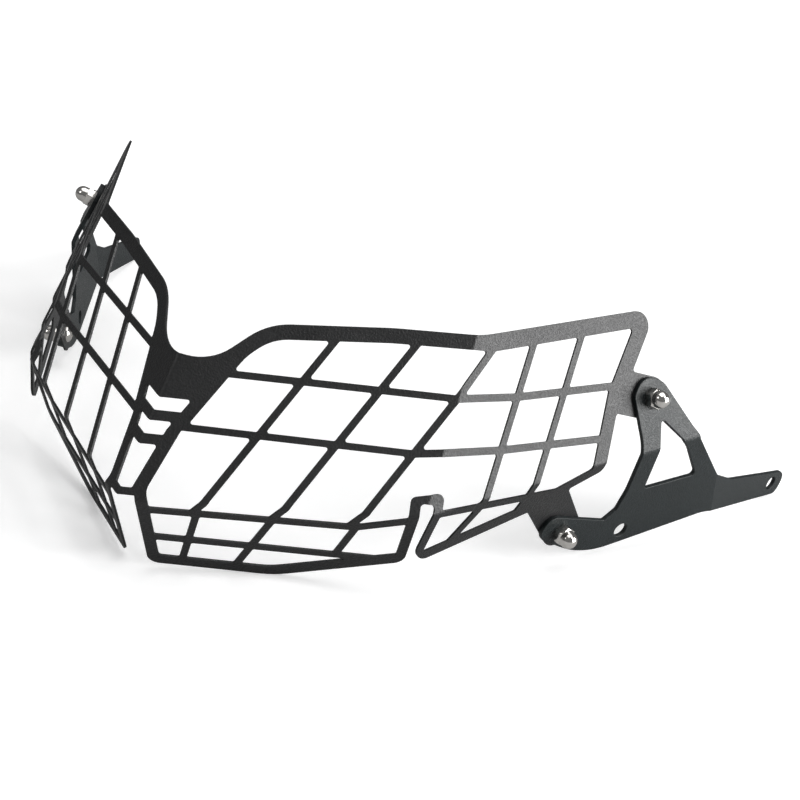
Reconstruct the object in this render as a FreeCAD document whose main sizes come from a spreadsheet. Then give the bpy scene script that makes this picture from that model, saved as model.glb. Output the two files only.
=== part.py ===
# Headlight guard: a laser-cut steel grille folded at the ridge and at three lines on each side,
# with a folded bracket bolted behind each outer edge.
# Millimetres. X to the guard's own left-right, -Y to the front, +Z up.
import FreeCAD, Part
import math
import os
from FreeCAD import Placement, Rotation, Vector

doc = FreeCAD.newDocument("HeadlightGuard")

# Driving dimensions
# The cut pattern is measured on the flat blank of the right half: u runs out from the ridge
# and v runs up along it. Headings are in degrees from u towards v.
SIZES = {
    # Material and bends
    "sheet_thickness": 1.2,
    "bracket_thickness": 2.5,
    "bend_radius": 3.5,
    "ridge_half_angle": 29.2,
    "outer_fold_angle": 23.9,
    "lower_fold_angle": 48.4,
    "low_outer_fold_angle": 28.6,
    "arm_bend_angle": 12.0,
    "arm_bend_radius": 3.0,
    "lean_angle": 34.06,
    # Where the three fold lines meet, and the way each runs from there
    "fold_centre_u": 138.6,
    "fold_centre_v": -0.3,
    "outer_fold_heading": 96.8,
    "lower_fold_heading": 19.2,
    "low_outer_fold_heading": 35.4,
    # Relief slit below the meeting point
    "slit_heading": 105.7,
    "slit_width": 7.4,
    "slit_reach": 5.5,
    "slit_offset": 1.6,
    "slit_arm": 5.1,
    "slit_outer_arm": 4.6,
    # Bars of the grille
    "post_width": 3.6,
    "post_heading": 74.2,
    "post_start": 49.1,
    "post_pitch": 33.1,
    "rung_width": 3.5,
    "rung_heading": 17.2,
    "upper_rung": 17.0,
    "middle_rung": -11.7,
    "lower_rung": -56.5,
    "bottom_rung": -76.0,
    "low_rung_width": 3.8,
    "outer_post_width": 3.5,
    "outer_post_heading": 95.3,
    "outer_post_start": 171.0,
    "outer_post_pitch": 27.0,
    "outer_rung_width": 3.8,
    "outer_rung_heading": 24.3,
    "end_rung_heading": 28.3,
    # Rims
    "top_rim": 7.4,
    "outer_top_rim": 8.7,
    "right_rim": 9.4,
    "right_low_rim": 7.7,
    "low_right_rim": 4.5,
    "low_outer_rim": 5.2,
    "bottom_rim": 6.0,
    "bottom_right_rim": 6.6,
    "left_rim": 6.3,
    "left_foot_rim": 5.8,
    # Strips that cross the ridge
    "strip_width": 5.0,
    "upper_strip": -7.3,
    "middle_strip": -19.3,
    "web_foot": 1.9,
    "low_strip_top": -44.0,
    "low_strip_foot": -47.9,
    # Ears and bolts
    "outer_bolt_out": 16.7,
    "outer_bolt_up": 14.8,
    "low_bolt_out": 14.6,
    "low_bolt_down": 22.2,
    "ear_radius": 11.6,
    "ear_heading": 13.0,
    "low_ear_reach": 10.5,
    "bolt_diameter": 6.0,
    "bolt_hole": 6.6,
    "mount_hole": 8.4,
    "front_mount_out": 43.3,
    "front_mount_up": 14.6,
    "arm_mount_out": 115.5,
    "arm_mount_up": 61.7,
    # Cap nuts and button-head screws
    "nut_across_flats": 10.0,
    "nut_hex_height": 5.0,
    "nut_dome_diameter": 9.5,
    "nut_height": 12.0,
    "nut_bore_depth": 9.0,
    "thread_clearance": 0.05,
    "screw_head_diameter": 10.5,
    "screw_head_height": 3.3,
    "screw_socket": 4.0,
    "screw_socket_depth": 2.0,
    "screw_length": 12.0,
    # Edges and single bars of the blank: a point on each and its heading
    "low_post_1_u": 42.8,
    "low_post_1_v": -63.5,
    "low_post_1_heading": 101.9,
    "low_post_2_u": 72.5,
    "low_post_2_v": -55.3,
    "low_post_2_heading": 87.3,
    "low_post_3_u": 112.6,
    "low_post_3_v": -43.2,
    "low_post_3_heading": 90.0,
    "foot_rung_u": 168.8,
    "foot_rung_v": 14.9,
    "foot_rung_heading": 28.6,
    "edge_left_low_u": 8.2,
    "edge_left_low_v": -46.9,
    "edge_left_low_heading": -60.0,
    "edge_bottom_u": 31.8,
    "edge_bottom_v": -87.6,
    "edge_bottom_heading": 14.9,
    "edge_bottom_right_u": 91.8,
    "edge_bottom_right_v": -71.8,
    "edge_bottom_right_heading": 33.7,
    "edge_low_outer_u": 150.3,
    "edge_low_outer_v": -29.1,
    "edge_low_outer_heading": 44.2,
    "edge_low_right_u": 218.7,
    "edge_low_right_v": 42.5,
    "edge_low_right_heading": 50.6,
    "edge_right_low_u": 232.0,
    "edge_right_low_v": 61.1,
    "edge_right_low_heading": 102.3,
    "edge_right_u": 225.7,
    "edge_right_v": 90.1,
    "edge_right_heading": 90.0,
    "edge_top_outer_u": 225.7,
    "edge_top_outer_v": 149.3,
    "edge_top_outer_heading": 211.6,
    "edge_top_u": 129.3,
    "edge_top_v": 90.6,
    "edge_top_heading": 199.0,
    "edge_top_left_u": 89.5,
    "edge_top_left_v": 76.9,
    "edge_top_left_heading": 201.8,
    "edge_shoulder_u": 33.1,
    "edge_shoulder_v": 54.3,
    "edge_shoulder_heading": 237.0,
    "edge_crown_u": 15.3,
    "edge_crown_v": 26.8,
    "edge_crown_heading": 188.0,
    "loop_top_u": 137.4,
    "loop_top_v": 9.5,
    "loop_top_heading": 29.0,
    "low_ear_foot_u": 203.3,
    "low_ear_foot_v": 22.1,
    "low_ear_foot_heading": -22.2,
    "low_ear_head_u": 218.7,
    "low_ear_head_v": 42.5,
    "low_ear_head_heading": 153.3,
    "nose_point_u": 12.0,
    "nose_point_v": -11.9,
    "nose_rim_heading": 73.0,
    "nose_low_rim_heading": 82.7,
    "arm_fold_u": 316.3,
    "arm_fold_v": 88.0,
    "arm_fold_heading": 133.8,
    # Small radii
    "window_corner": 1.0,
}

sheet = doc.addObject("Spreadsheet::Sheet", "Sizes")
for row, (alias, value) in enumerate(SIZES.items(), start=1):
    sheet.set(f"A{row}", alias)
    sheet.set(f"B{row}", str(value))
    sheet.setAlias(f"B{row}", alias)
doc.recompute()


def size(alias):
    return float(sheet.get(alias))


# Flat geometry: a line is a point and a heading in degrees

def heading(angle):
    return Vector(math.cos(math.radians(angle)), math.sin(math.radians(angle)), 0)


def line(u, v, angle):
    return Vector(u, v, 0), angle


def named_line(name):
    return line(size(name + "_u"), size(name + "_v"), size(name + "_heading"))


def point_on(a_line, distance):
    return a_line[0] + heading(a_line[1]) * distance


def along(a_line, gap=0.0):
    """The line moved to its left by the gap."""
    return a_line[0] + heading(a_line[1] + 90) * gap, a_line[1]


def back(a_line, gap=0.0):
    """The line run the other way, then moved to its left by the gap."""
    return along((a_line[0], a_line[1] + 180), gap)


def meet(first, second):
    run, other = heading(first[1]), heading(second[1])
    apart = second[0] - first[0]
    cross = run.x * other.y - run.y * other.x
    return first[0] + run * ((apart.x * other.y - apart.y * other.x) / cross)


def corners_of(sides):
    """Where each side meets the next."""
    following = sides[1:] + sides[:1]
    return [meet(side, after) for side, after in zip(sides, following)]


def rounded_face(corners, radii):
    """A flat face with the given corners, each rounded by its radius."""
    edges = []
    starts = []
    ends = []
    middles = []
    count = len(corners)
    for i, corner in enumerate(corners):
        to_last = (corners[i - 1] - corner).normalize()
        to_next = (corners[(i + 1) % count] - corner).normalize()
        half = to_last.getAngle(to_next) / 2
        reach = radii[i] / math.tan(half)
        starts.append(corner + to_last * reach)
        ends.append(corner + to_next * reach)
        bisector = (to_last + to_next).normalize()
        middles.append(corner + bisector * (radii[i] / math.sin(half) - radii[i]))
    for i in range(count):
        if radii[i] > 0:
            edges.append(Part.Arc(starts[i], middles[i], ends[i]).toShape())
        if (starts[(i + 1) % count] - ends[i]).Length > 1e-6:
            edges.append(Part.LineSegment(ends[i], starts[(i + 1) % count]).toShape())
    return Part.Face(Part.Wire(edges))


def window(*sides, radii=None):
    corners = corners_of(list(sides))
    return rounded_face(corners, radii or [size("window_corner")] * len(corners))


# Folding: outward faces lie at height 0 on the blank, and each fold turns the far part back

class Fold:
    """A bend that starts at a line of the blank and uses up a strip of it, the allowance."""

    def __init__(self, start, bend, depth, neutral_depth, rays):
        self.base, self.angle = start
        self.bend = bend
        self.depth = depth
        self.rays = rays
        self.across = heading(self.angle - 90)
        self.allowance = math.radians(bend) * (depth - neutral_depth)
        self.far_base = self.base + self.across * self.allowance

    def turned(self, share=1.0):
        """The placement of what lies after a share of the bend."""
        rotation = Rotation(heading(self.angle), self.bend * share)
        centre = self.base - Vector(0, 0, self.depth)
        slide = Placement(self.across * -self.allowance * share, Rotation())
        return Placement(Vector(), rotation, centre).multiply(slide)

    def spans(self, blank, share):
        """Where the metal lies along the fold, after a share of the bend."""
        base = self.base + self.across * (self.allowance * share)
        ends = [base + heading(ray) * 900 for ray in self.rays]
        cut = blank.common(Part.LineSegment(ends[0], ends[1] if len(ends) > 1 else base).toShape())
        run = heading(self.angle)
        found = []
        for edge in cut.Edges:
            found.append(sorted((vertex.Point - base).dot(run) for vertex in edge.Vertexes))
        return sorted(found)

    def zone(self, blank, low, high):
        """The bent metal: each crossing bar, carried round in small steps."""
        near, far = self.spans(blank, 0), self.spans(blank, 1)
        if len(near) != len(far):
            near = far = self.spans(blank, 0.5)
        steps = math.ceil(self.bend / BEND_STEP)
        pieces = []
        for first, last in zip(near, far):
            sections = []
            for step in range(steps + 1):
                share = step / steps
                left, right = (a + (b - a) * share for a, b in zip(first, last))
                corners = [(left, low), (right, low), (right, high), (left, high), (left, low)]
                turn = Placement(Vector(), Rotation(heading(self.angle), self.bend * share),
                                 self.base - Vector(0, 0, self.depth))
                points = [turn.multVec(self.base + heading(self.angle) * along_fold + Vector(0, 0, height))
                          for along_fold, height in corners]
                sections.append(Part.makePolygon(points))
            pieces.append(Part.makeLoft(sections, True, True))
        return pieces


def raised(face, low, high):
    lifted = face.copy()
    lifted.translate(Vector(0, 0, low))
    return lifted.extrude(Vector(0, 0, high - low))


def placed(shape, placement):
    moved = shape.copy()
    moved.Placement = placement.multiply(moved.Placement)
    return moved


def welded(pieces):
    """One solid from pieces that meet face to face."""
    return pieces[0].multiFuse(pieces[1:]).removeSplitter()


def fan(centre, first, last):
    """A wide wedge of the blank between two headings."""
    turns = [first + (last - first) * share / 3 for share in range(4)]
    corners = [centre] + [centre + heading(turn) * 900 for turn in turns]
    return Part.Face(Part.makePolygon(corners + corners[:1]))


BEND_STEP = 5.0
fold_centre = Vector(size("fold_centre_u"), size("fold_centre_v"), 0)
bend_depth = size("bend_radius")
half_sheet = size("sheet_thickness") / 2
outer_heading = size("outer_fold_heading")
lower_heading = size("lower_fold_heading")
low_outer_heading = size("low_outer_fold_heading")
ridge_fold = Fold(line(0, 0, 90), size("ridge_half_angle"), bend_depth, half_sheet, (90, -90))
outer_fold = Fold((fold_centre, outer_heading), size("outer_fold_angle"), bend_depth, half_sheet,
                  (outer_heading,))
lower_fold = Fold((fold_centre, lower_heading), size("lower_fold_angle"), bend_depth, half_sheet,
                  (lower_heading + 180,))
low_outer_fold = Fold((outer_fold.far_base, low_outer_heading), size("low_outer_fold_angle"), bend_depth,
                      half_sheet, (low_outer_heading,))
arm_heading = size("arm_fold_heading")
arm_fold = Fold(named_line("arm_fold"), size("arm_bend_angle"), size("arm_bend_radius"),
                -size("bracket_thickness") / 2, (arm_heading, arm_heading - 180))

# Bars and rims as lines

rung_1 = line(0, size("upper_rung"), size("rung_heading"))
rung_2 = line(0, size("middle_rung"), size("rung_heading") - 0.6)
rung_3 = line(0, size("lower_rung"), size("rung_heading"))
rung_4 = line(0, size("bottom_rung"), size("rung_heading") - 1.7)
post_1, post_2, post_3 = [
    line(size("post_start") + size("post_pitch") * i, 0, size("post_heading")) for i in range(3)
]
post_4, post_5 = [
    line(size("outer_post_start") + size("outer_post_pitch") * i, 0, size("outer_post_heading"))
    for i in range(2)
]
rung_1_outer = (meet(rung_1, post_3), size("outer_rung_heading"))
rung_2_outer = (meet(rung_2, post_3), size("outer_rung_heading"))
rung_1_end = (meet(rung_1_outer, post_4), size("end_rung_heading"))
rung_2_end = (meet(rung_2_outer, post_4), size("end_rung_heading") - 1)
low_post_1 = named_line("low_post_1")
low_post_2 = named_line("low_post_2")
low_post_3 = named_line("low_post_3")
rung_3_end = (meet(rung_3, low_post_3), 35.0)
foot_rung = named_line("foot_rung")
foot_post_1 = (meet(foot_rung, post_4), 81.6)
foot_post_2 = (meet(foot_rung, post_5), 90.0)
slit = (fold_centre + Vector(size("slit_offset"), 0, 0), size("slit_heading"))

nose_rim = line(size("nose_point_u"), size("nose_point_v"), size("nose_rim_heading"))
nose_low_rim = line(size("nose_point_u"), size("nose_point_v"), size("nose_low_rim_heading"))
strip_1 = line(0, size("upper_strip"), size("rung_heading"))
strip_2 = line(0, size("middle_strip"), size("rung_heading"))
web_edge = line(0, size("web_foot"), size("rung_heading"))
strip_3_top = line(0, size("low_strip_top"), size("rung_heading"))
strip_3_foot = line(0, size("low_strip_foot"), size("rung_heading"))

# Outer edges, run with the metal on their left
edge_left_low = named_line("edge_left_low")
edge_bottom = named_line("edge_bottom")
edge_bottom_right = named_line("edge_bottom_right")
edge_low_outer = named_line("edge_low_outer")
edge_low_right = named_line("edge_low_right")
edge_right_low = named_line("edge_right_low")
edge_right = named_line("edge_right")
edge_top_outer = named_line("edge_top_outer")
edge_top = named_line("edge_top")
edge_top_left = named_line("edge_top_left")
edge_shoulder = named_line("edge_shoulder")
edge_crown = named_line("edge_crown")

# Bolts, each set out from the edge that carries its ear, and the bracket's free holes from there
outer_bolt_at = edge_right[0] + Vector(size("outer_bolt_out"), size("outer_bolt_up"), 0)
low_bolt_at = edge_low_right[0] + Vector(size("low_bolt_out"), -size("low_bolt_down"), 0)
front_mount_at = low_bolt_at + Vector(size("front_mount_out"), size("front_mount_up"), 0)
arm_mount_at = front_mount_at + Vector(size("arm_mount_out"), size("arm_mount_up"), 0)


def guard_outline():
    half_slit = size("slit_width") / 2
    slit_end = (point_on(slit, size("slit_reach")), size("slit_heading") - 90)
    ear = size("ear_radius")
    outer_bolt = (outer_bolt_at, size("ear_heading"))
    ear_end = (point_on(outer_bolt, ear), size("ear_heading") + 90)
    low_ear_foot = named_line("low_ear_foot")
    low_ear_head = named_line("low_ear_head")
    low_ear_end = (low_bolt_at + heading(-24.5) * size("low_ear_reach"), 65.5)
    past_ridge = line(-2, 0, -90)
    sides = [
        (strip_3_foot, 0.0),
        (edge_left_low, 7.0),
        (edge_bottom, 40.0),
        (edge_bottom_right, 7.0),
        (along(slit, half_slit), 2.0),
        (slit_end, 2.0),
        (back(slit, half_slit), 6.6),
        (edge_low_outer, 1.5),
        (low_ear_foot, 9.0),
        (low_ear_end, 8.0),
        (low_ear_head, 1.5),
        (edge_low_right, 6.0),
        (edge_right_low, 1.5),
        (along(outer_bolt, -ear), 11.4),
        (ear_end, 11.4),
        (back(outer_bolt, -ear), 1.5),
        (edge_right, 8.3),
        (edge_top_outer, 60.0),
        (edge_top, 150.0),
        (edge_top_left, 35.0),
        (edge_shoulder, 26.0),
        (edge_crown, 0.0),
        (past_ridge, 0.0),
    ]
    corners = corners_of([side for side, _ in sides])
    return rounded_face(corners, [radius for _, radius in sides])


def guard_windows():
    post = size("post_width") / 2
    rung = size("rung_width") / 2
    low_rung = size("low_rung_width") / 2
    outer_post = size("outer_post_width") / 2
    outer_rung = size("outer_rung_width") / 2
    nose = size("left_rim") / 2
    near_slit = size("slit_width") / 2 + size("slit_arm")
    past_slit = size("slit_width") / 2 + size("slit_outer_arm")
    small = size("window_corner")
    top = along(edge_top, size("top_rim"))
    top_left = along(edge_top_left, size("top_rim"))
    top_outer = along(edge_top_outer, size("outer_top_rim"))
    shoulder = along(edge_shoulder, size("top_rim"))
    right = along(edge_right, size("right_rim"))
    right_low = along(edge_right_low, size("right_low_rim"))
    low_right = along(edge_low_right, size("low_right_rim"))
    low_outer = along(edge_low_outer, size("low_outer_rim"))
    left_low = along(edge_left_low, size("left_foot_rim"))
    bottom = along(edge_bottom, size("bottom_rim"))
    bottom_right = along(edge_bottom_right, size("bottom_right_rim"))
    loop_top = named_line("loop_top")
    past_ridge = line(-5, 0, -90)

    top_row = [
        window(
            along(rung_1, rung), along(post_1, post), top_left, shoulder, back(nose_rim, nose),
            radii=[small, small, 25, 30, small],
        ),
        window(
            along(rung_1, rung), along(post_2, post), top, top_left, back(post_1, post),
            radii=[small, small, 100, small, small],
        ),
        window(along(rung_1, rung), along(post_3, post), top, back(post_2, post)),
        window(along(rung_1_outer, outer_rung), along(post_4, outer_post), top_outer, back(post_3, post)),
        window(along(rung_1_end, outer_rung), along(post_5, outer_post), top_outer, back(post_4, outer_post)),
        window(
            along(rung_1_end, outer_rung), right, top_outer, back(post_5, outer_post),
            radii=[small, 1.5, small, small],
        ),
    ]
    middle_row = [
        window(along(rung_2, rung), along(post_1, post), back(rung_1, rung), back(nose_rim, nose)),
        window(along(rung_2, rung), along(post_2, post), back(rung_1, rung), back(post_1, post)),
        window(along(rung_2, rung), along(post_3, post), back(rung_1, rung), back(post_2, post)),
        window(
            along(rung_2_outer, outer_rung), along(post_4, outer_post),
            back(rung_1_outer, outer_rung), back(post_3, post),
        ),
        window(
            along(rung_2_end, outer_rung), along(post_5, outer_post),
            back(rung_1_end, outer_rung), back(post_4, outer_post),
        ),
        window(along(rung_2_end, outer_rung), right_low, back(rung_1_end, outer_rung),
               back(post_5, outer_post)),
    ]
    low_row = [
        window(
            along(rung_3, low_rung), along(post_1, post), back(rung_2, rung),
            back(nose_low_rim, nose), left_low,
            radii=[small, small, small, 8, small],
        ),
        window(along(rung_3, low_rung), along(post_2, post), back(rung_2, rung), back(post_1, post)),
        window(along(rung_3, low_rung), along(post_3, post), back(rung_2, rung), back(post_2, post)),
        window(
            along(rung_3_end, low_rung), along(slit, near_slit), loop_top, back(slit, past_slit),
            along(foot_rung, outer_post), along(post_4, outer_post), back(rung_2_outer, outer_rung),
            back(post_3, post),
            radii=[small, 3, 3.5, small, 3, small, small, small],
        ),
        window(
            along(foot_rung, outer_post), along(post_5, outer_post),
            back(rung_2_end, outer_rung), back(post_4, outer_post),
        ),
        window(
            along(foot_rung, outer_post), low_right, right_low, back(rung_2_end, outer_rung),
            back(post_5, outer_post),
            radii=[3, 3, small, small, small],
        ),
    ]
    chin_row = [
        window(along(rung_4, low_rung), along(low_post_1, post), back(rung_3, low_rung), left_low),
        window(along(rung_4, low_rung), along(low_post_2, post), back(rung_3, low_rung),
               back(low_post_1, post)),
        window(along(rung_4, low_rung), along(low_post_3, post), back(rung_3, low_rung),
               back(low_post_2, post)),
        window(
            along(rung_4, low_rung), bottom_right, along(slit, near_slit), back(rung_3_end, low_rung),
            back(low_post_3, post),
            radii=[3, small, small, small, small],
        ),
    ]
    foot_row = [
        window(bottom, along(low_post_1, post), back(rung_4, low_rung), left_low,
               radii=[small, small, small, 2]),
        window(bottom, along(low_post_2, post), back(rung_4, low_rung), back(low_post_1, post)),
        window(bottom, bottom_right, back(rung_4, low_rung), back(low_post_2, post),
               radii=[30, 0.6, small, small]),
        window(low_outer, along(foot_post_1, outer_post), back(foot_rung, outer_post), back(slit, past_slit)),
        window(
            low_outer, along(foot_post_2, outer_post), back(foot_rung, outer_post),
            back(foot_post_1, outer_post),
            radii=[0.6, small, small, small],
        ),
    ]
    strip = size("strip_width") / 2
    ridge_row = [
        window(along(strip_1, strip), along(nose_rim, nose), back(web_edge), past_ridge),
        window(
            along(strip_2, strip), along(nose_low_rim, nose), along(nose_rim, nose), back(strip_1, strip),
            past_ridge,
            radii=[small, 10, small, small, small],
        ),
        window(strip_3_top, along(nose_low_rim, nose), back(strip_2, strip), past_ridge),
    ]
    return top_row + middle_row + low_row + chin_row + foot_row + ridge_row


def hole(centre, diameter):
    return Part.Face(Part.Wire(Part.makeCircle(diameter / 2, centre)))


bolt_holes = [hole(outer_bolt_at, size("bolt_hole")), hole(low_bolt_at, size("bolt_hole"))]


def guard_half():
    blank = guard_outline().cut(Part.makeCompound(guard_windows() + bolt_holes))
    low = -size("sheet_thickness")
    slit_way = size("slit_heading") + 180
    past_ridge_bend = fan(ridge_fold.far_base, -90, 90)
    main = blank.common(fan(fold_centre, outer_heading, lower_heading + 180)).common(past_ridge_bend)
    lower = blank.common(fan(lower_fold.far_base, lower_heading + 180, slit_way))
    outer = blank.common(fan(outer_fold.far_base, low_outer_heading, outer_heading))
    low_outer = blank.common(fan(low_outer_fold.far_base, slit_way, low_outer_heading + 360))
    pieces = ridge_fold.zone(blank, low, 0)
    pieces.append(placed(raised(main, low, 0), on_main))
    pieces += [placed(piece, on_main) for piece in lower_fold.zone(blank, low, 0)]
    pieces.append(placed(raised(lower, low, 0), on_lower))
    pieces += [placed(piece, on_main) for piece in outer_fold.zone(blank, low, 0)]
    pieces.append(placed(raised(outer, low, 0), on_outer))
    pieces += [placed(piece, on_outer) for piece in low_outer_fold.zone(blank, low, 0)]
    pieces.append(placed(raised(low_outer, low, 0), on_low_outer))
    return pieces


# Places of the folded panels, and of the guard as it stands

on_main = ridge_fold.turned()
on_lower = on_main.multiply(lower_fold.turned())
on_outer = on_main.multiply(outer_fold.turned())
on_low_outer = on_outer.multiply(low_outer_fold.turned())
on_arm = on_low_outer.multiply(arm_fold.turned())
upright = Placement(Vector(), Rotation(Vector(1, 0, 0), 90 - size("lean_angle")))


def mirrored(shape):
    return shape.mirror(Vector(), Vector(1, 0, 0))


def guard_shape():
    half = guard_half()
    return placed(welded(half + [mirrored(piece) for piece in half]), upright)


# The bracket's corners: the hole each is set out from, how far in u and v, and its radius. They
# run anticlockwise from the end under the low bolt.
BRACKET_CORNERS = [
    (low_bolt_at, -13.6, -8.5, 6.9),
    (front_mount_at, -15.1, -21.7, 60.0),
    (front_mount_at, 54.4, 29.9, 30.0),
    (arm_mount_at, 13.2, -4.0, 6.0),
    (arm_mount_at, 10.9, 10.9, 7.0),
    (front_mount_at, 61.8, 53.1, 18.0),
    (front_mount_at, 43.7, 51.8, 5.0),
    (outer_bolt_at, 31.8, -1.6, 50.0),
    (outer_bolt_at, 3.5, 10.9, 10.0),
    (outer_bolt_at, -11.4, 9.6, 9.5),
    (outer_bolt_at, -11.2, -3.9, 6.0),
    (outer_bolt_at, 5.2, -23.5, 25.0),
    (front_mount_at, -17.8, 21.4, 25.0),
    (front_mount_at, -15.0, 9.3, 3.0),
    (front_mount_at, -18.3, 1.0, 1.0),
    (low_bolt_at, -13.6, 5.6, 6.9),
]
BRACKET_WINDOW = [
    (outer_bolt_at, 10.6, -6.8, 1.5),
    (front_mount_at, -6.8, 26.4, 1.5),
    (front_mount_at, 24.2, 46.6, 2.0),
    (front_mount_at, 1.8, 57.5, 30.0),
]


def face_of(corners):
    places = [hole_at + Vector(u, v, 0) for hole_at, u, v, _ in corners]
    return rounded_face(places, [corner[3] for corner in corners])


def bracket_shape():
    openings = bolt_holes + [
        face_of(BRACKET_WINDOW),
        hole(front_mount_at, size("mount_hole")),
        hole(arm_mount_at, size("mount_hole")),
    ]
    plate = face_of(BRACKET_CORNERS).cut(Part.makeCompound(openings))
    thick = size("bracket_thickness")
    low, high, arm = low_outer_heading, low_outer_heading + 180, arm_fold.angle
    head = plate.common(fan(low_outer_fold.base, low, high))
    body = plate.common(fan(low_outer_fold.far_base, low - 180, low))
    body = body.common(fan(arm_fold.base, arm, arm + 180))
    tail = plate.common(fan(arm_fold.far_base, arm - 180, arm))
    pieces = [placed(raised(head, 0, thick), on_outer)]
    pieces += [placed(piece, on_outer) for piece in low_outer_fold.zone(plate, 0, thick)]
    pieces.append(placed(raised(body, 0, thick), on_low_outer))
    pieces += [placed(piece, on_low_outer) for piece in arm_fold.zone(plate, 0, thick)]
    pieces.append(placed(raised(tail, 0, thick), on_arm))
    return placed(welded(pieces), upright)


# Cap nut and button-head screw, each standing on its seat and pointing up

def primitive(kind, name, **sizes):
    solid = doc.addObject(kind, name)
    for field, expression in sizes.items():
        solid.setExpression(field, expression)
    return solid


def cap_nut():
    hexagon = primitive("Part::Prism", "NutHexagon", Circumradius="Sizes.nut_across_flats / sqrt(3)",
                        Height="Sizes.nut_hex_height")
    hexagon.Polygon = 6
    bevel = primitive("Part::Cone", "NutBevel", Radius1="Sizes.nut_across_flats * 0.8",
                      Radius2="Sizes.nut_across_flats * 0.48", Height="Sizes.nut_hex_height")
    bevelled = doc.addObject("Part::Common", "BevelledHexagon")
    bevelled.Base = hexagon
    bevelled.Tool = bevel
    barrel = primitive("Part::Cylinder", "NutBarrel", Radius="Sizes.nut_dome_diameter / 2",
                       Height="Sizes.nut_height - Sizes.nut_dome_diameter / 2")
    dome = primitive("Part::Sphere", "NutDome", Radius="Sizes.nut_dome_diameter / 2")
    dome.setExpression("Placement.Base.z", "Sizes.nut_height - Sizes.nut_dome_diameter / 2")
    body = doc.addObject("Part::MultiFuse", "NutBody")
    body.Shapes = [bevelled, barrel, dome]
    bore = primitive("Part::Cylinder", "NutBore", Height="Sizes.nut_bore_depth",
                     Radius="Sizes.bolt_diameter / 2 + Sizes.thread_clearance")
    nut = doc.addObject("Part::Cut", "CapNut")
    nut.Base = body
    nut.Tool = bore
    return nut


def button_screw():
    shank = primitive("Part::Cylinder", "ScrewShank", Radius="Sizes.bolt_diameter / 2",
                      Height="Sizes.screw_length")
    ball_radius = ("((Sizes.screw_head_diameter / 2)^2 + Sizes.screw_head_height^2)"
                   " / (2 * Sizes.screw_head_height)")
    ball = primitive("Part::Sphere", "ScrewBall", Radius=ball_radius)
    ball.setExpression("Placement.Base.z", ball_radius + " - Sizes.screw_head_height")
    disc = primitive("Part::Cylinder", "ScrewDisc", Radius="Sizes.screw_head_diameter / 2",
                     Height="Sizes.screw_head_height")
    disc.setExpression("Placement.Base.z", "-Sizes.screw_head_height")
    head = doc.addObject("Part::Common", "ScrewHead")
    head.Base = ball
    head.Tool = disc
    body = doc.addObject("Part::MultiFuse", "ScrewBody")
    body.Shapes = [head, shank]
    socket = primitive("Part::Prism", "ScrewSocket", Circumradius="Sizes.screw_socket / sqrt(3)",
                       Height="Sizes.screw_socket_depth")
    socket.Polygon = 6
    socket.setExpression("Placement.Base.z", "-Sizes.screw_head_height")
    screw = doc.addObject("Part::Cut", "ButtonScrew")
    screw.Base = body
    screw.Tool = socket
    return screw


def at_bolts(shape, height):
    """Copies of a fastener at the four bolts, its seat at a height over the guard's outer face."""
    copies = []
    for panel, bolt_at in ((on_outer, outer_bolt_at), (on_low_outer, low_bolt_at)):
        seat = upright.multiply(panel).multiply(Placement(bolt_at + Vector(0, 0, height), Rotation()))
        right = placed(shape, seat)
        copies += [right, mirrored(right)]
    return Part.makeCompound(copies)


nut = cap_nut()
screw = button_screw()
doc.recompute()

right_bracket = bracket_shape()
shapes = {
    "guard_grille": guard_shape(),
    "bracket_right": right_bracket,
    "bracket_left": mirrored(right_bracket),
    "cap_nuts": at_bolts(nut.Shape, size("bracket_thickness")),
    "button_screws": at_bolts(screw.Shape, -size("sheet_thickness")),
}

# The guard stands on the floor, centred
whole = Part.makeCompound(list(shapes.values())).BoundBox
stand = Placement(Vector(0, -(whole.YMin + whole.YMax) / 2, -whole.ZMin), Rotation())
nodes = []
for name, shape in shapes.items():
    node = doc.addObject("Part::Feature", name)
    node.Label = name
    node.Shape = placed(shape, stand)
    nodes.append(node)
doc.recompute()

for item in doc.Objects:
    if "Invalid" in item.State or "Error" in item.State:
        raise RuntimeError(f"{item.Label} failed: {item.State}")
for node in nodes:
    if node.Shape.isNull() or not node.Shape.isValid():
        raise RuntimeError(f"{node.Label} has no valid shape")

os.makedirs("parts", exist_ok=True)
for node in nodes:
    box = node.Shape.BoundBox
    print(
        f"{node.Label}: {len(node.Shape.Solids)} solids, {node.Shape.Volume / 1000:.2f} cm3, "
        f"x {box.XMin:.1f}..{box.XMax:.1f}, y {box.YMin:.1f}..{box.YMax:.1f}, "
        f"z {box.ZMin:.1f}..{box.ZMax:.1f}"
    )
    node.Shape.exportStep(f"parts/{node.Label}.step")
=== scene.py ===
# Motorcycle headlight guard: a folded grille and two brackets in textured powder coat, held by
# polished cap nuts and button-head screws. Metres, +Z up, -Y to the front.
import math

import bpy
from mathutils import Euler, Matrix, Vector


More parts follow.
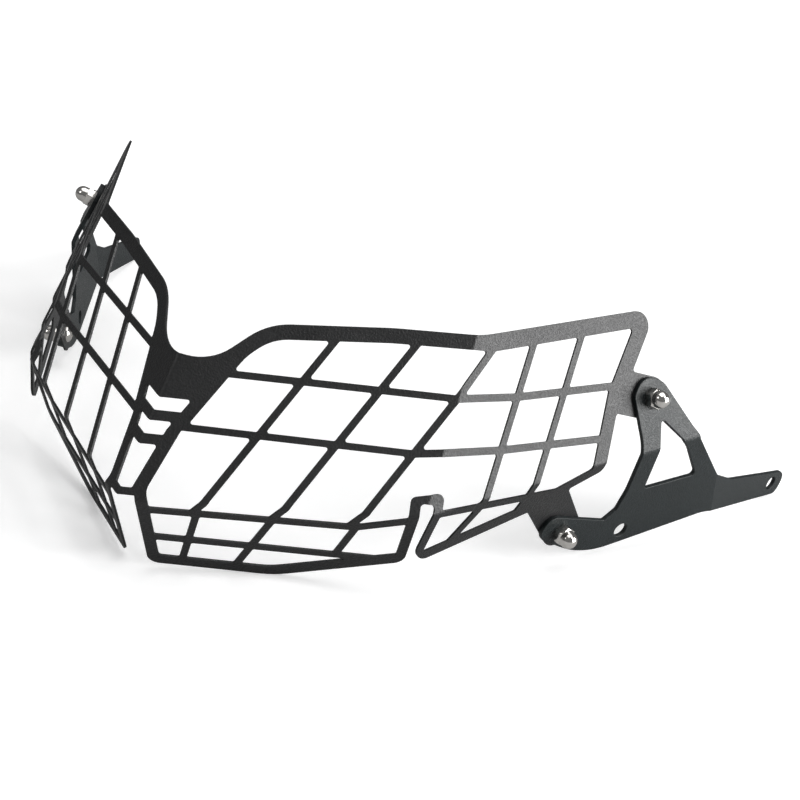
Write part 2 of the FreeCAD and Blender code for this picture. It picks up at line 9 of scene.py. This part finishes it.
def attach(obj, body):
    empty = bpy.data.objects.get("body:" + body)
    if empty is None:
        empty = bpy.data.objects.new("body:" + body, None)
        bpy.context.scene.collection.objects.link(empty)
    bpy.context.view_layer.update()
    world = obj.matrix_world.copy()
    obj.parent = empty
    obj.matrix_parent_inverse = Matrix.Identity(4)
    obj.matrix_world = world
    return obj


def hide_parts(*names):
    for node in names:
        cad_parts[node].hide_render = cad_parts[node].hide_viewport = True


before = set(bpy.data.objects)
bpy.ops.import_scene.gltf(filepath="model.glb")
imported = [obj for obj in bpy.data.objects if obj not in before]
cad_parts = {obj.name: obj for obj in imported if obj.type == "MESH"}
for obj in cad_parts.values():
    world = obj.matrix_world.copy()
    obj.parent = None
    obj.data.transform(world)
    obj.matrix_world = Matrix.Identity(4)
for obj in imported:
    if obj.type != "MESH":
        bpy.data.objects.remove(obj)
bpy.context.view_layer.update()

MM = 0.001

# Each bolt on the right: the middle of its hole on the grille's outer face, the way the nut points,
# and the way one corner of its hexagon points. The left ones mirror them.
BOLTS = {
    "upper": ((0.18096, 0.04352, 0.08804), (0.7972, -0.4717, 0.3768), (0.6029, 0.6553, -0.4552)),
    "lower": ((0.16254, -0.00359, 0.02111), (0.8797, -0.4627, -0.1102), (0.3553, 0.7932, -0.4945)),
}
SIDES = {"right": 1, "left": -1}
GRILLE_SHEET = 1.2 * MM
BRACKET_PLATE = 2.5 * MM

# Edges as the coat leaves them
GRILLE_EDGE = 0.24 * MM
BRACKET_EDGE = 0.4 * MM

# Cleaning a plate's mesh: points this close merge, faces this flat join, sharper edges are rounded
MERGE_DISTANCE = 0.002 * MM
JOIN_ANGLE = 0.4
EDGE_ANGLE = 50
PLATE_SMOOTH_ANGLE = 40

# Cap nut
NUT_FLATS = 10.0 * MM
NUT_HEX = 5.0 * MM
NUT_DOME = 9.4 * MM
NUT_HEIGHT = 11.5 * MM
NUT_CHAMFER_TOP = 9.6 * MM
NUT_CHAMFER_LOW = 10.4 * MM
NUT_CHAMFER_ANGLE = 30
NUT_ROUNDING = 0.12 * MM
NUT_DOME_FLARE = 1.02

# Button-head screw
SCREW_HEAD = 10.5 * MM
SCREW_HEAD_HEIGHT = 3.3 * MM
SCREW_SOCKET = 4.0 * MM
SCREW_SOCKET_DEPTH = 2.0 * MM
SCREW_SHANK = 6.0 * MM
SCREW_LENGTH = 12.0 * MM
SCREW_ROUNDING = 0.15 * MM
SCREW_TIP_CHAMFER = 0.6 * MM

FASTENER_SMOOTH_ANGLE = 30

# Cells a metre in the coat's grain and cover and in the steel's haze and drag marks
PEBBLES = 1050
GRIT = 3200
COVER = 38
HAZE = 420
DRAG = 2600


# Modelling

def pick(*objects):
    """Selects these objects and nothing else."""
    bpy.ops.object.select_all(action="DESELECT")
    for item in objects:
        item.select_set(True)
    bpy.context.view_layer.objects.active = objects[0]


def begin(name):
    """Names the piece that was just added."""
    piece = bpy.context.object
    piece.name = name
    piece.data.name = name
    return piece


def select_faces(piece, test):
    """Selects the faces whose middle and normal pass the test, in face mode."""
    bpy.ops.object.mode_set(mode="EDIT")
    bpy.ops.mesh.select_mode(type="FACE")
    bpy.ops.mesh.select_all(action="DESELECT")
    bpy.ops.object.mode_set(mode="OBJECT")
    for face in piece.data.polygons:
        face.select = test(face.center, face.normal)
    bpy.ops.object.mode_set(mode="EDIT")


def apply_modifier(piece, kind, **settings):
    pick(piece)
    modifier = piece.modifiers.new(kind.title(), kind)
    for field, value in settings.items():
        setattr(modifier, field, value)
    bpy.ops.object.modifier_apply(modifier=modifier.name)


def smooth(piece, degrees):
    pick(piece)
    bpy.ops.object.shade_smooth_by_angle(angle=math.radians(degrees))


def cut_with(piece, cutter, operation):
    apply_modifier(piece, "BOOLEAN", operation=operation, object=cutter, solver="EXACT")
    bpy.data.objects.remove(cutter)


def coated_plate(name, node, edge):
    """The node's folded plate with its cut edges rounded over, as the coat leaves them."""
    plate = bpy.data.objects.new(name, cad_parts[node].data.copy())
    plate.data.name = name
    bpy.context.collection.objects.link(plate)
    pick(plate)
    bpy.ops.object.mode_set(mode="EDIT")
    bpy.ops.mesh.select_all(action="SELECT")
    bpy.ops.mesh.remove_doubles(threshold=MERGE_DISTANCE)
    bpy.ops.mesh.dissolve_limited(angle_limit=math.radians(JOIN_ANGLE))
    bpy.ops.object.mode_set(mode="OBJECT")
    apply_modifier(plate, "BEVEL", width=edge, segments=2, limit_method="ANGLE",
                   angle_limit=math.radians(EDGE_ANGLE), use_clamp_overlap=True, miter_outer="MITER_SHARP")
    smooth(plate, PLATE_SMOOTH_ANGLE)
    apply_modifier(plate, "WEIGHTED_NORMAL", keep_sharp=True, weight=90)
    return plate


def cap_nut(name):
    """A hexagon with chamfered corners and a dome, standing on its seat."""
    bpy.ops.mesh.primitive_cylinder_add(vertices=6, radius=NUT_FLATS / math.sqrt(3), depth=NUT_HEX,
                                        location=(0, 0, NUT_HEX / 2), rotation=(0, 0, math.pi / 2))
    nut = begin(name)
    bpy.ops.object.transform_apply()
    spread = NUT_HEX / math.tan(math.radians(NUT_CHAMFER_ANGLE))
    bpy.ops.mesh.primitive_cone_add(vertices=96, radius1=NUT_CHAMFER_TOP / 2 + spread,
                                    radius2=NUT_CHAMFER_TOP / 2, depth=NUT_HEX,
                                    location=(0, 0, NUT_HEX / 2))
    cut_with(nut, begin("chamfer_above"), "INTERSECT")
    bpy.ops.mesh.primitive_cone_add(vertices=96, radius1=NUT_CHAMFER_LOW / 2,
                                    radius2=NUT_CHAMFER_LOW / 2 + spread, depth=NUT_HEX,
                                    location=(0, 0, NUT_HEX / 2))
    cut_with(nut, begin("chamfer_below"), "INTERSECT")
    apply_modifier(nut, "BEVEL", width=NUT_ROUNDING, segments=2, limit_method="ANGLE",
                   angle_limit=math.radians(25))
    smooth(nut, FASTENER_SMOOTH_ANGLE)

    radius = NUT_DOME / 2
    bpy.ops.mesh.primitive_uv_sphere_add(segments=64, ring_count=32, radius=radius,
                                         location=(0, 0, NUT_HEIGHT - radius))
    dome = begin(name + "_dome")
    bpy.ops.object.transform_apply()
    bpy.ops.object.mode_set(mode="EDIT")
    bpy.ops.mesh.select_all(action="SELECT")
    bpy.ops.mesh.bisect(plane_co=(0, 0, NUT_HEIGHT - radius), plane_no=(0, 0, 1), clear_inner=True)
    down_to_hex = (0, 0, NUT_HEX + radius - NUT_HEIGHT)
    bpy.ops.mesh.extrude_region_move(TRANSFORM_OT_translate={"value": down_to_hex})
    bpy.ops.transform.resize(value=(NUT_DOME_FLARE, NUT_DOME_FLARE, 1))
    bpy.ops.mesh.edge_face_add()
    bpy.ops.object.mode_set(mode="OBJECT")
    smooth(dome, FASTENER_SMOOTH_ANGLE)
    pick(nut, dome)
    bpy.ops.object.join()
    return nut


def button_screw(name):
    """A low round head with a hexagon socket and its shank, head down."""
    bpy.ops.mesh.primitive_uv_sphere_add(segments=64, ring_count=48, radius=SCREW_HEAD / 2)
    screw = begin(name)
    bpy.ops.transform.resize(value=(1, 1, 2 * SCREW_HEAD_HEIGHT / SCREW_HEAD))
    bpy.ops.object.transform_apply()
    bpy.ops.object.mode_set(mode="EDIT")
    bpy.ops.mesh.select_all(action="SELECT")
    bpy.ops.mesh.bisect(plane_co=(0, 0, 0), plane_no=(0, 0, 1), clear_outer=True, use_fill=True)
    bpy.ops.object.mode_set(mode="OBJECT")
    bpy.ops.mesh.primitive_cylinder_add(vertices=6, radius=SCREW_SOCKET / math.sqrt(3),
                                        depth=2 * SCREW_SOCKET_DEPTH, location=(0, 0, -SCREW_HEAD_HEIGHT))
    cut_with(screw, begin("socket"), "DIFFERENCE")
    apply_modifier(screw, "BEVEL", width=SCREW_ROUNDING, segments=2, limit_method="ANGLE",
                   angle_limit=math.radians(35))
    smooth(screw, FASTENER_SMOOTH_ANGLE)
    bpy.ops.mesh.primitive_cylinder_add(vertices=32, radius=SCREW_SHANK / 2, depth=SCREW_LENGTH,
                                        location=(0, 0, SCREW_LENGTH / 2))
    shank = begin(name + "_shank")
    bpy.ops.object.transform_apply()
    select_faces(shank, lambda middle, normal: normal.z > 0.9)
    bpy.ops.mesh.bevel(offset=SCREW_TIP_CHAMFER, segments=1)
    bpy.ops.object.mode_set(mode="OBJECT")
    smooth(shank, FASTENER_SMOOTH_ANGLE)
    pick(screw, shank)
    bpy.ops.object.join()
    return screw


def place_at_bolt(piece, level, side, height):
    """Moves a fastener's mesh from the origin to its bolt, its seat at a height over the grille."""
    middle, nut_way, corner_way = (Vector((SIDES[side] * x, y, z)) for x, y, z in BOLTS[level])
    third = nut_way.cross(corner_way)
    turn = Matrix((corner_way, third, nut_way)).transposed().to_4x4()
    piece.data.transform(Matrix.Translation(middle + nut_way * height) @ turn)


def copy_of(piece, name):
    twin = bpy.data.objects.new(name, piece.data.copy())
    twin.data.name = name
    bpy.context.collection.objects.link(twin)
    return twin


# Finishes

class Shade:
    """A value in a finish: arithmetic on it adds Math nodes."""

    def __init__(self, finish, socket):
        self.finish = finish
        self.socket = socket

    def combine(self, operation, first, second):
        return self.finish.node("ShaderNodeMath", {"operation": operation}, {0: first, 1: second})

    def __add__(self, other):
        return self.combine("ADD", self, other)

    def __sub__(self, other):
        return self.combine("SUBTRACT", self, other)

    def __rsub__(self, other):
        return self.combine("SUBTRACT", other, self)

    def __mul__(self, other):
        return self.combine("MULTIPLY", self, other)

    __radd__ = __add__
    __rmul__ = __mul__


class Finish:
    """A material, or the studio's surroundings, built from nodes around one shader."""

    def __init__(self, owner, output="ShaderNodeOutputMaterial"):
        self.owner = owner
        self.owner.use_nodes = True
        self.tree = self.owner.node_tree
        self.tree.nodes.clear()
        self.output = self.tree.nodes.new(output)

    def node(self, kind, settings, inputs, output=0):
        made = self.tree.nodes.new(kind)
        for field, value in settings.items():
            setattr(made, field, value)
        for socket, value in inputs.items():
            if isinstance(value, Shade):
                self.tree.links.new(value.socket, made.inputs[socket])
            else:
                made.inputs[socket].default_value = value
        return Shade(self, made.outputs[output])

    def finish_with(self, surface):
        self.tree.links.new(surface.socket, self.output.inputs["Surface"])
        return self.owner

    def noise(self, scale, detail, roughness=0.5):
        place = self.node("ShaderNodeTexCoord", {}, {}, "Object")
        return self.node("ShaderNodeTexNoise", {}, {
            "Vector": place, "Scale": scale, "Detail": detail, "Roughness": roughness,
        })

    def stretch(self, value, low, high):
        return self.node("ShaderNodeMapRange", {"clamp": True}, {0: value, 1: low, 2: high, 3: 0.0, 4: 1.0})

    def blend(self, mask, first, second):
        return self.node("ShaderNodeMix", {"data_type": "RGBA"}, {0: mask, 6: first, 7: second}, 2)


def powder_coat(name, hollow_shade, pebble_top, rough, shine):
    """Fine-textured powder coat: pebbles of about a millimetre, in slightly uneven cover.

    Its colour runs from a darker tone between the pebbles, painted shade in their hollows, to a lighter
    tone on top of them.
    """
    coat = Finish(bpy.data.materials.new(name))
    pebbles = coat.stretch(coat.noise(PEBBLES, 1.5), 0.36, 0.66)
    grit = coat.stretch(coat.noise(GRIT, 1.0), 0.42, 0.7)
    cover = coat.stretch(coat.noise(COVER, 3.0), 0.3, 0.7)
    height = pebbles * 0.75 + grit * 0.25
    bump = coat.node("ShaderNodeBump", {}, {"Strength": 0.9, "Distance": 0.12 * MM, "Height": height})
    # Painted shade: darker where the pebbles dip and lighter on their tops, mixed with random tone from the
    # uneven cover
    colour = coat.blend(pebbles * 0.7 + cover * 0.3, (*hollow_shade, 1), (*pebble_top, 1))
    roughness = rough + 0.1 * (1 - pebbles) + 0.05 * cover
    surface = coat.node("ShaderNodeBsdfPrincipled", {}, {
        "Base Color": colour, "Roughness": roughness, "Specular IOR Level": shine, "Normal": bump,
    })
    return coat.finish_with(surface)


def polished_steel(name):
    """Turned and tumbled stainless: bright, with faint haze and drag marks."""
    steel = Finish(bpy.data.materials.new(name))
    haze = steel.stretch(steel.noise(HAZE, 3.0), 0.35, 0.7)
    drag = steel.noise(DRAG, 2.0)
    bump = steel.node("ShaderNodeBump", {}, {"Strength": 0.08, "Distance": 0.02 * MM, "Height": drag})
    colour = steel.blend(haze, (0.80, 0.775, 0.74, 1), (0.70, 0.68, 0.65, 1))
    surface = steel.node("ShaderNodeBsdfPrincipled", {}, {
        "Base Color": colour, "Metallic": 1.0, "Roughness": 0.09 + 0.09 * haze, "Normal": bump,
    })
    return steel.finish_with(surface)


def wear(piece, material):
    piece.data.materials.clear()
    piece.data.materials.append(material)


grille_coat = powder_coat("grille_coat", (0.004, 0.0042, 0.0045), (0.012, 0.0123, 0.0127), 0.35, 0.5)
bracket_coat = powder_coat("bracket_coat", (0.003, 0.0053, 0.0058), (0.009, 0.0133, 0.0142), 0.33, 0.4)
stainless = polished_steel("stainless")

# Pieces

grille = coated_plate("grille", "guard_grille", GRILLE_EDGE)
wear(grille, grille_coat)
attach(grille, "root")
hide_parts("guard_grille")

for side in SIDES:
    bracket = coated_plate("bracket_plate_" + side, "bracket_" + side, BRACKET_EDGE)
    wear(bracket, bracket_coat)
    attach(bracket, "root")
    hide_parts("bracket_" + side)

fasteners = (
    (cap_nut("nut"), "cap_nuts", BRACKET_PLATE),
    (button_screw("screw"), "button_screws", -GRILLE_SHEET),
)
for pattern, node, height in fasteners:
    wear(pattern, stainless)
    for level, side in ((level, side) for level in BOLTS for side in SIDES):
        fastener = copy_of(pattern, f"{pattern.name}_{level}_{side}")
        place_at_bolt(fastener, level, side, height)
        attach(fastener, "root")
        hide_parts(node)
    bpy.data.objects.remove(pattern)

# Studio

CAMERA_PLACE = (0.38809, -0.72262, 0.44934)
CAMERA_TURN = (63.42987, -8.47361, 28.67923)
CAMERA_LENS = 74.06
DOME_MIDDLE = Vector((0.12, 0, 0.06))
CATCH_DISTANCE = 1.1
AIR_LIGHT = 0.16
FLOOR_SIZE = 14
FLOOR_WHITE = 0.88
FLOOR_MIRRORED = 0.46
GLOW_NEAR = 0.3
GLOW_FAR = 0.7
GLOW_RANGE = (0.2, 0.9)


def lamp(name, place, aim, size, brightness):
    """A rectangular soft box that looks this bright, whatever its size."""
    bpy.ops.object.light_add(type="AREA", location=place)
    box = bpy.context.object
    box.name = name
    box.rotation_euler = (Vector(aim) - Vector(place)).to_track_quat("-Z", "Y").to_euler()
    box.data.shape = "RECTANGLE"
    box.data.size, box.data.size_y = size
    box.data.energy = brightness * math.pi * size[0] * size[1]


lamp("overhead_box", (0.1, 0.15, 1.7), (0, 0, 0), (1.7, 1.7), 1.75)
lamp("side_box", (1.48, 0.24, 0.42), (0.17, 0.03, 0.07), (1.1, 0.84), 10.4)

# Two small boxes, set out from the camera's own directions, show as a pair of spots on each dome
camera_turn = Euler([math.radians(turn) for turn in CAMERA_TURN], "XYZ")
for side, across in (("right", 0.68), ("left", -0.68)):
    way = camera_turn.to_matrix() @ Vector((across, 0.44, 0.59))
    lamp("catch_light_" + side, DOME_MIDDLE + CATCH_DISTANCE * way, DOME_MIDDLE, (0.3, 0.3), 4.0)

room = Finish(bpy.data.worlds.new("studio"), "ShaderNodeOutputWorld")
seen = room.node("ShaderNodeLightPath", {}, {}, "Is Camera Ray")
air = room.node("ShaderNodeBackground", {}, {
    "Color": (0.98, 0.99, 1, 1), "Strength": AIR_LIGHT + (1 - AIR_LIGHT) * seen,
})
bpy.context.scene.world = room.finish_with(air)

# The floor glows a little for the camera, more so away from the guard, looks darker in the guard's own
# reflections, and is clear from below
paper = Finish(bpy.data.materials.new("white_paper"))
seen = paper.node("ShaderNodeLightPath", {}, {}, "Is Camera Ray")
spot = paper.node("ShaderNodeTexCoord", {}, {}, "Object")
away = paper.node("ShaderNodeVectorMath", {"operation": "LENGTH"}, {0: spot}, "Value")
far = paper.stretch(away, *GLOW_RANGE)
below = paper.node("ShaderNodeNewGeometry", {}, {}, "Backfacing")
white = paper.node("ShaderNodeBsdfDiffuse", {}, {"Color": (*[FLOOR_WHITE] * 3, 1)})
grey = paper.node("ShaderNodeBsdfDiffuse", {}, {"Color": (*[FLOOR_MIRRORED] * 3, 1)})
mirrored = paper.node("ShaderNodeLightPath", {}, {}, "Is Glossy Ray")
matt = paper.node("ShaderNodeMixShader", {}, {0: mirrored, 1: white, 2: grey})
glow = paper.node("ShaderNodeEmission", {}, {
    "Color": (1, 1, 1, 1), "Strength": seen * (GLOW_NEAR + GLOW_FAR * far),
})
lit = paper.node("ShaderNodeAddShader", {}, {0: matt, 1: glow})
clear = paper.node("ShaderNodeBsdfTransparent", {}, {})
sheet = paper.node("ShaderNodeMixShader", {}, {0: below, 1: lit, 2: clear})
bpy.ops.mesh.primitive_plane_add(size=FLOOR_SIZE)
floor = begin("floor")
wear(floor, paper.finish_with(sheet))

bpy.ops.object.camera_add(location=CAMERA_PLACE, rotation=camera_turn)
camera = bpy.context.object
camera.data.sensor_width = 36
camera.data.lens = CAMERA_LENS
bpy.context.scene.camera = camera
bpy.context.scene.view_settings.view_transform = "Standard"
